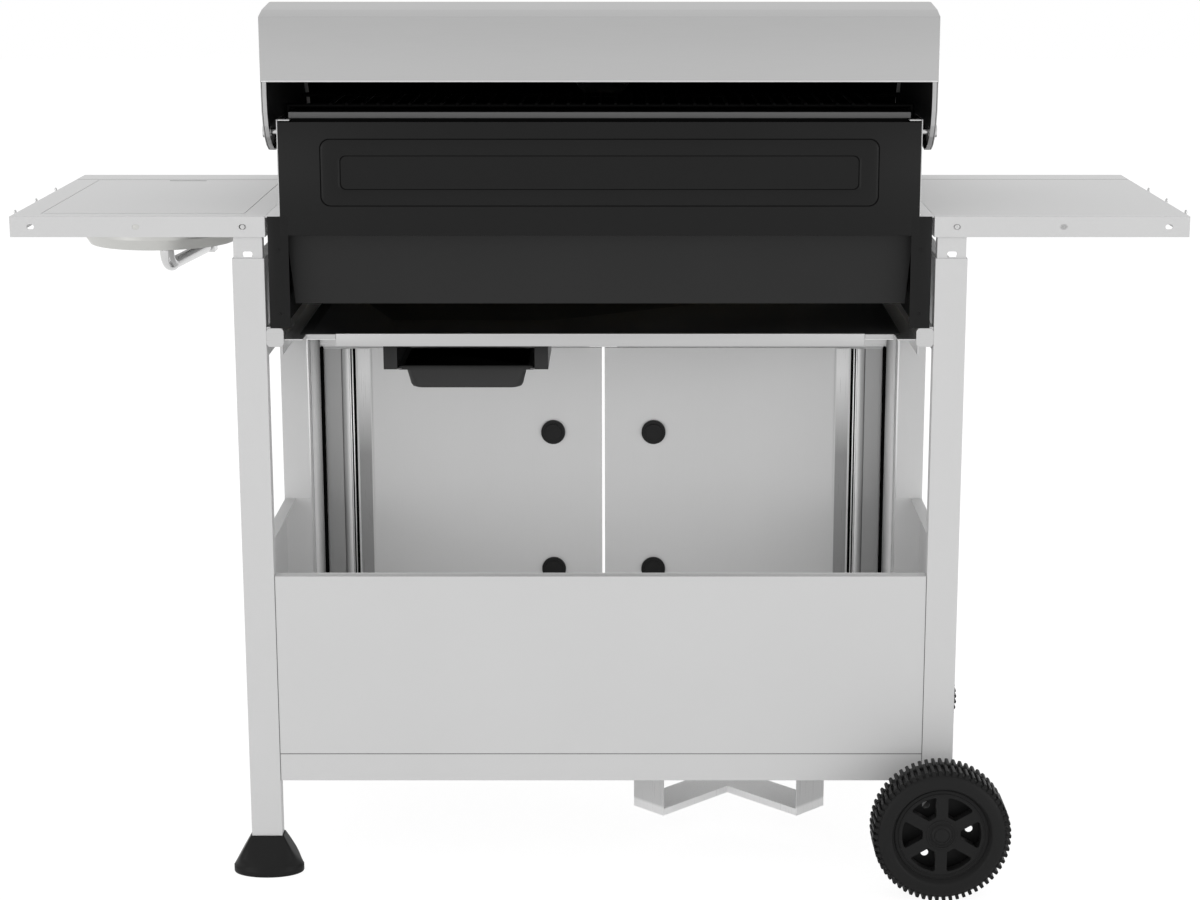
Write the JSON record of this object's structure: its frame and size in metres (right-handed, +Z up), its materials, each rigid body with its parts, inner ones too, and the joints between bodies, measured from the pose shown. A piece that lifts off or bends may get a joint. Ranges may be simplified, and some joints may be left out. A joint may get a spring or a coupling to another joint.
{
  "type": "gas grill",
  "caption": "Gas grill on an open-backed cart with a hinged hood, folding-lid side burner, side shelves, front doors, pull-out grease tray and cup, feet on one side and wheels on the other.",
  "frame": {"origin": "centre of the bounding box at floor level", "axes": "+X towards the side burner (the cook's right), +Y towards the rear, +Z up; the cook stands at -Y"},
  "size_m": [1.52, 0.6278, 1.137],
  "materials": {
    "leg_steel": "satin light grey enamel",
    "sheet_steel": "satin light grey enamel",
    "hood_steel": "brushed lengthwise",
    "frame_steel": "plain sheet steel",
    "liner_steel": "satin",
    "door_steel": "satin",
    "black_enamel": "semi-gloss black",
    "cast_black": "matt enamel",
    "bright_wire": "bright plating",
    "aluminised": "plain",
    "valve_brass": "plain",
    "wheel_black": "moulded, matt",
    "foot_black": "moulded, satin",
    "knob_black": "satin",
    "dial_face": "bright bezel, white dial"
  },
  "bodies": {
    "cart": {"leg_rear_left": "leg_steel", "leg_rear_right": "leg_steel", "leg_front_left": "leg_steel", "leg_front_right": "leg_steel", "feet": "foot_black", "bottom_shelf": "sheet_steel", "rear_panel": "sheet_steel", "side_panels_lower": "sheet_steel", "side_panels_upper": "sheet_steel", "front_frame": "frame_steel", "tray_runners": "frame_steel", "tank_cradle": "sheet_steel", "axle_rod": "bright_wire", "back_plate": "black_enamel", "rear_rail": "black_enamel", "firebox_side_left": "frame_steel", "firebox_side_right": "frame_steel", "firebox_tub": "black_enamel", "burner_tubes": "aluminised", "heat_tents": "aluminised", "grate_left": "cast_black", "grate_right": "cast_black", "warming_rack": "bright_wire", "manifold": "valve_brass", "control_panel": "door_steel", "knob_bezels": "bright_wire", "shelf_left": "sheet_steel", "shelf_right": "sheet_steel", "burner_bowl": "aluminised", "side_burner": "bright_wire", "pan_support": "cast_black", "tool_hooks": "bright_wire", "cup_bracket": "black_enamel", "fasteners": "bright_wire"},
    "hood": {"hood_shell": "hood_steel", "hood_cheeks": "hood_steel", "hood_handle_bar": "bright_wire", "hood_handle_posts": "knob_black", "thermometer": "dial_face"},
    "left_door": {"door_left": "door_steel", "door_liner_left": "liner_steel", "door_handle_left": "foot_black"},
    "right_door": {"door_right": "door_steel", "door_liner_right": "liner_steel", "door_handle_right": "foot_black"},
    "side_lid": {"burner_lid": "sheet_steel"},
    "rear_wheel": {"wheel_rear": "wheel_black"},
    "front_wheel": {"wheel_front": "wheel_black"},
    "tray": {"drip_tray": "black_enamel"},
    "cup": {"grease_cup": "black_enamel"},
    "stem_1": {"valve_stem_1": "valve_brass"},
    "dial_1": {"knob_1": "knob_black"},
    "stem_2": {"valve_stem_2": "valve_brass"},
    "dial_2": {"knob_2": "knob_black"},
    "stem_3": {"valve_stem_3": "valve_brass"},
    "dial_3": {"knob_3": "knob_black"},
    "stem_4": {"valve_stem_4": "valve_brass"},
    "dial_4": {"knob_4": "knob_black"},
    "stem_side": {"valve_stem_side": "valve_brass"},
    "dial_side": {"knob_side": "knob_black"}
  },
  "joints": [
    {"name": "hood_hinge", "type": "hinge", "parent": "cart", "child": "hood", "pos_m": [0, 0.17532, 0.98], "axis": [-1, 0, 0], "range_deg": [0, 95]},
    {"name": "left_door_hinge", "type": "hinge", "parent": "cart", "child": "left_door", "pos_m": [-0.408, -0.23118, 0.181], "axis": [0, 0, -1], "range_deg": [0, 98]},
    {"name": "right_door_hinge", "type": "hinge", "parent": "cart", "child": "right_door", "pos_m": [0.408, -0.23118, 0.181], "axis": [0, 0, 1], "range_deg": [0, 98]},
    {"name": "side_lid_hinge", "type": "hinge", "parent": "cart", "child": "side_lid", "pos_m": [0.578, 0.17732, 0.872], "axis": [-1, 0, 0], "range_deg": [0, 92]},
    {"name": "rear_wheel_turn", "type": "hinge", "parent": "cart", "child": "rear_wheel", "pos_m": [-0.4395, 0.28632, 0.089], "axis": [0, 1, 0], "continuous": true},
    {"name": "front_wheel_turn", "type": "hinge", "parent": "cart", "child": "front_wheel", "pos_m": [-0.4395, -0.26968, 0.089], "axis": [0, 1, 0], "continuous": true},
    {"name": "tray_slide", "type": "slide", "parent": "cart", "child": "tray", "axis": [0, 1, 0], "range_m": [0, 0.3]},
    {"name": "cup_slide", "type": "slide", "parent": "cart", "child": "cup", "axis": [0, 1, 0], "range_m": [0, 0.15]},
    {"name": "push_1", "type": "slide", "parent": "cart", "child": "stem_1", "axis": [0, 1, 0], "range_m": [0, 0.004], "stiffness_N_per_m": 600},
    {"name": "turn_1", "type": "hinge", "parent": "stem_1", "child": "dial_1", "pos_m": [-0.267, -0.29818, 0.792], "axis": [0, -1, 0], "range_deg": [0, 135]},
    {"name": "push_2", "type": "slide", "parent": "cart", "child": "stem_2", "axis": [0, 1, 0], "range_m": [0, 0.004], "stiffness_N_per_m": 600},
    {"name": "turn_2", "type": "hinge", "parent": "stem_2", "child": "dial_2", "pos_m": [-0.089, -0.29818, 0.792], "axis": [0, -1, 0], "range_deg": [0, 135]},
    {"name": "push_3", "type": "slide", "parent": "cart", "child": "stem_3", "axis": [0, 1, 0], "range_m": [0, 0.004], "stiffness_N_per_m": 600},
    {"name": "turn_3", "type": "hinge", "parent": "stem_3", "child": "dial_3", "pos_m": [0.089, -0.29818, 0.792], "axis": [0, -1, 0], "range_deg": [0, 135]},
    {"name": "push_4", "type": "slide", "parent": "cart", "child": "stem_4", "axis": [0, 1, 0], "range_m": [0, 0.004], "stiffness_N_per_m": 600},
    {"name": "turn_4", "type": "hinge", "parent": "stem_4", "child": "dial_4", "pos_m": [0.267, -0.29818, 0.792], "axis": [0, -1, 0], "range_deg": [0, 135]},
    {"name": "push_side", "type": "slide", "parent": "cart", "child": "stem_side", "axis": [0, 1, 0], "range_m": [0, 0.004], "stiffness_N_per_m": 600},
    {"name": "turn_side", "type": "hinge", "parent": "stem_side", "child": "dial_side", "pos_m": [0.565, -0.25868, 0.822], "axis": [0, -1, 0], "range_deg": [0, 135]}
  ]
}
